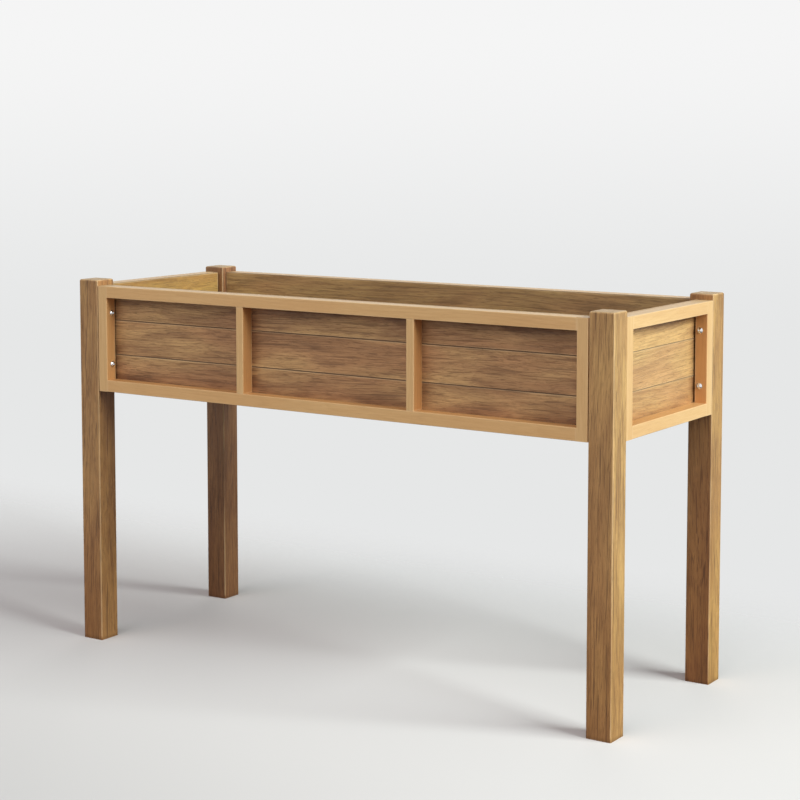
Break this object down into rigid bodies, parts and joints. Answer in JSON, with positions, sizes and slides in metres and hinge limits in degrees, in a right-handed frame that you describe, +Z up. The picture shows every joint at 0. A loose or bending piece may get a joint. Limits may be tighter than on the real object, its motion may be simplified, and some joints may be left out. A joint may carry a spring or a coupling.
{
  "type": "raised planter on legs",
  "caption": "Rectangular timber planter box held between tall square corner posts, with panelled sides and a slatted floor.",
  "frame": {"origin": "on the floor at the centre of the footprint", "axes": "+X along the long sides towards the right end, +Y from the front panel to the back panel, +Z up"},
  "size_m": [1.247, 0.463, 0.762],
  "materials": {
    "post_timber": "oiled brown hardwood, sawn and sanded, grain along the post",
    "frame_timber": "smooth honey-coloured softwood batten, clear oil",
    "board_timber": "oiled brown tongued boards, grain along the board",
    "floor_timber": "plain sawn softwood, unfinished",
    "dowel_timber": "plain beech",
    "bolt_steel": "bright zinc-plated steel",
    "insert_brass": "plain brass",
    "screw_steel": "zinc-plated steel",
    "brad_steel": "bright drawn steel"
  },
  "bodies": {
    "root": {"back_floor_ledger": "floor_timber", "back_panel_bottom_board": "board_timber", "back_panel_bottom_rail": "frame_timber", "back_panel_left_mullion": "frame_timber", "back_panel_left_stile": "frame_timber", "back_panel_middle_board": "board_timber", "back_panel_right_mullion": "frame_timber", "back_panel_right_stile": "frame_timber", "back_panel_top_board": "board_timber", "back_panel_top_rail": "frame_timber", "board_brads": "brad_steel", "corner_post_back_left": "post_timber", "corner_post_back_right": "post_timber", "corner_post_front_left": "post_timber", "corner_post_front_right": "post_timber", "floor_screws": "screw_steel", "floor_slat_1": "floor_timber", "floor_slat_10": "floor_timber", "floor_slat_11": "floor_timber", "floor_slat_2": "floor_timber", "floor_slat_3": "floor_timber", "floor_slat_4": "floor_timber", "floor_slat_5": "floor_timber", "floor_slat_6": "floor_timber", "floor_slat_7": "floor_timber", "floor_slat_8": "floor_timber", "floor_slat_9": "floor_timber", "frame_dowels": "dowel_timber", "front_floor_ledger": "floor_timber", "front_panel_bottom_board": "board_timber", "front_panel_bottom_rail": "frame_timber", "front_panel_left_mullion": "frame_timber", "front_panel_left_stile": "frame_timber", "front_panel_middle_board": "board_timber", "front_panel_right_mullion": "frame_timber", "front_panel_right_stile": "frame_timber", "front_panel_top_board": "board_timber", "front_panel_top_rail": "frame_timber", "ledger_screws": "screw_steel", "left_panel_back_stile": "frame_timber", "left_panel_bottom_board": "board_timber", "left_panel_bottom_rail": "frame_timber", "left_panel_front_stile": "frame_timber", "left_panel_middle_board": "board_timber", "left_panel_top_board": "board_timber", "left_panel_top_rail": "frame_timber", "panel_bolts": "bolt_steel", "post_inserts": "insert_brass", "right_panel_back_stile": "frame_timber", "right_panel_bottom_board": "board_timber", "right_panel_bottom_rail": "frame_timber", "right_panel_front_stile": "frame_timber", "right_panel_middle_board": "board_timber", "right_panel_top_board": "board_timber", "right_panel_top_rail": "frame_timber"}
  },
  "joints": []
}
